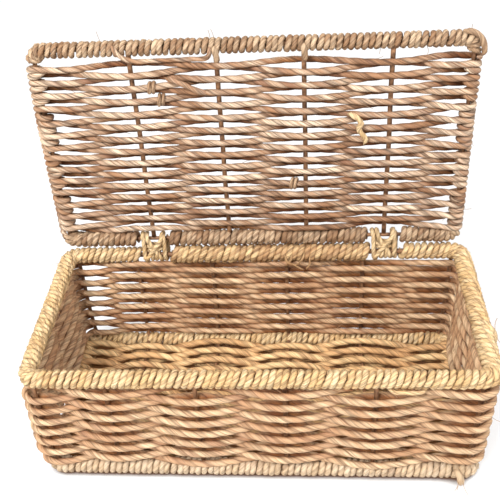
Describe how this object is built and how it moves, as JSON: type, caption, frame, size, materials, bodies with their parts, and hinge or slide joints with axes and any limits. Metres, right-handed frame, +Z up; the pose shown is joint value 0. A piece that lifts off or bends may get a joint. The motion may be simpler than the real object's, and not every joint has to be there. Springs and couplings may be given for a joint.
{
  "type": "woven lidded box",
  "caption": "Rectangular box of twisted grass rope woven over a wire frame, with rope-wrapped edges and a lid that turns in two rope ties.",
  "frame": {"origin": "on the ground, under the middle of the box with its lid standing open", "axes": "+X along the length to the right seen from the front, +Y from the front to the hinge, +Z up"},
  "size_m": [0.3132, 0.1534, 0.2656],
  "materials": {
    "woven_rope": "twisted seagrass rope, dry and matt, tan with brown and olive streaks",
    "wrapped_rope": "the same rope in lighter straw yellow, wound close round the edges",
    "tie_rope": "seagrass rope tied round the hinge wire and the rim",
    "frame_wire": "dark brown steel wire, dull"
  },
  "bodies": {
    "base": {"base_rim_wire": "frame_wire", "base_rim_wrap": "wrapped_rope", "base_rim_wrap_rear": "wrapped_rope", "corner_stake_front_left": "frame_wire", "corner_stake_front_right": "frame_wire", "corner_stake_rear_left": "frame_wire", "corner_stake_rear_right": "frame_wire", "cross_stake_1": "frame_wire", "cross_stake_2": "frame_wire", "cross_stake_3": "frame_wire", "cross_stake_4": "frame_wire", "floor_rope_front": "woven_rope", "floor_rope_middle": "woven_rope", "floor_rope_rear": "woven_rope", "floor_wire": "frame_wire", "floor_wrap_front": "wrapped_rope", "floor_wrap_rear": "wrapped_rope", "hinge_tie_left": "tie_rope", "hinge_tie_right": "tie_rope", "long_stake_front": "frame_wire", "long_stake_rear": "frame_wire", "wall_row_01": "woven_rope", "wall_row_02": "woven_rope", "wall_row_03": "woven_rope", "wall_row_04": "woven_rope", "wall_row_05": "woven_rope", "wall_row_06": "woven_rope", "wall_row_07": "woven_rope", "wall_row_08": "woven_rope", "wall_row_09": "woven_rope", "wall_row_10": "woven_rope", "wall_row_11": "woven_rope", "wall_row_12": "woven_rope", "wall_row_13": "woven_rope", "wall_row_14": "woven_rope"},
    "lid": {"lid_rope_1": "woven_rope", "lid_rope_2": "woven_rope", "lid_rope_3": "woven_rope", "lid_rope_4": "woven_rope", "lid_stake_1": "frame_wire", "lid_stake_2": "frame_wire", "lid_stake_3": "frame_wire", "lid_stake_4": "frame_wire", "lid_wire": "frame_wire", "lid_wrap_front": "wrapped_rope", "lid_wrap_hinge_left": "wrapped_rope", "lid_wrap_hinge_middle": "wrapped_rope", "lid_wrap_hinge_right": "wrapped_rope"}
  },
  "joints": [
    {"name": "lid_hinge", "type": "hinge", "parent": "base", "child": "lid", "pos_m": [0, 0.07045, 0.1066], "axis": [1, 0, 0], "range_deg": [-115, 90]}
  ]
}
